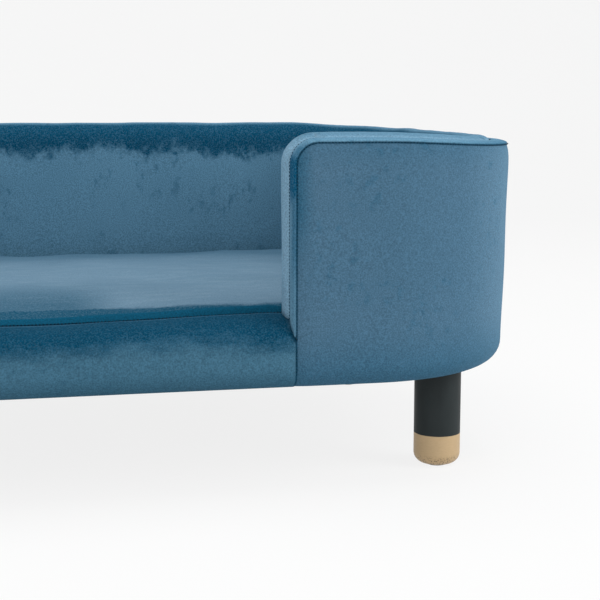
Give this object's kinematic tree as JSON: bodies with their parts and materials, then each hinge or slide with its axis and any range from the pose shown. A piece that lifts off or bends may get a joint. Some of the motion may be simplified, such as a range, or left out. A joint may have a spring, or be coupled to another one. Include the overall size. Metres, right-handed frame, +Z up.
{
  "type": "dog sofa bed",
  "caption": "Raised pet sofa with a padded velvet wall on three sides, a low front sill, a lift-out seat cushion and turned legs with metal tips.",
  "frame": {"origin": "on the floor, under the middle of the bed", "axes": "+Z up, -Y is the front with the entry, +X to the right seen from the front"},
  "size_m": [0.94, 0.55, 0.33],
  "materials": {
    "velvet_cover": "short-pile velvet, blue",
    "velvet_strip": "short-pile velvet, blue, cut as a narrow strip",
    "velvet_lining": "short-pile velvet, blue, brushed",
    "velvet_cushion": "short-pile velvet, blue, lying flat",
    "cushion_underside": "dotted non-slip cloth",
    "deck_cloth": "spunbond cloth",
    "dust_cloth": "black spunbond cloth",
    "foam": "open-cell foam",
    "board": "birch plywood",
    "pine": "planed pine",
    "leg_lacquer": "turned beech, black satin lacquer",
    "tip_metal": "drawn cup, matt champagne gold",
    "glide": "moulded nylon",
    "steel": "zinc plated",
    "zip_cloth": "woven tape, blue",
    "zip_plastic": "nylon coil"
  },
  "bodies": {
    "sofa_body": {"base_board": "board", "wall_shell": "board", "entry_post_left": "pine", "entry_post_right": "pine", "sill_rail": "pine", "cleat_back": "pine", "cleat_left": "pine", "cleat_right": "pine", "base_screws": "steel", "shell_screws": "steel", "outer_pad": "foam", "inner_pad": "foam", "edge_roll": "foam", "sill_pad": "foam", "cover_wing_left": "velvet_cover", "cover_wing_right": "velvet_cover", "cover_back": "velvet_cover", "cover_sill": "velvet_cover", "edge_strip": "velvet_strip", "lining_wall": "velvet_lining", "lining_sill": "velvet_lining", "deck_cloth": "deck_cloth", "dust_cover": "dust_cloth", "leg_front_left": "leg_lacquer", "leg_front_right": "leg_lacquer", "leg_rear_left": "leg_lacquer", "leg_rear_right": "leg_lacquer", "tip_front_left": "tip_metal", "tip_front_right": "tip_metal", "tip_rear_left": "tip_metal", "tip_rear_right": "tip_metal", "glide_front_left": "glide", "glide_front_right": "glide", "glide_rear_left": "glide", "glide_rear_right": "glide", "hanger_bolts": "steel", "tee_nuts": "steel"},
    "cushion": {"cushion_core": "foam", "cushion_top": "velvet_cushion", "cushion_boxing": "velvet_cushion", "cushion_base": "cushion_underside", "zip_tape": "zip_cloth", "zip_coil": "zip_plastic"},
    "slider": {"zip_slider": "steel"}
  },
  "joints": [
    {"name": "cushion_lift", "type": "slide", "parent": "sofa_body", "child": "cushion", "axis": [0, 0, 1], "range_m": [0, 0.26]},
    {"name": "zip_slide", "type": "slide", "parent": "cushion", "child": "slider", "axis": [1, 0, 0], "range_m": [-0.4, 0]}
  ]
}
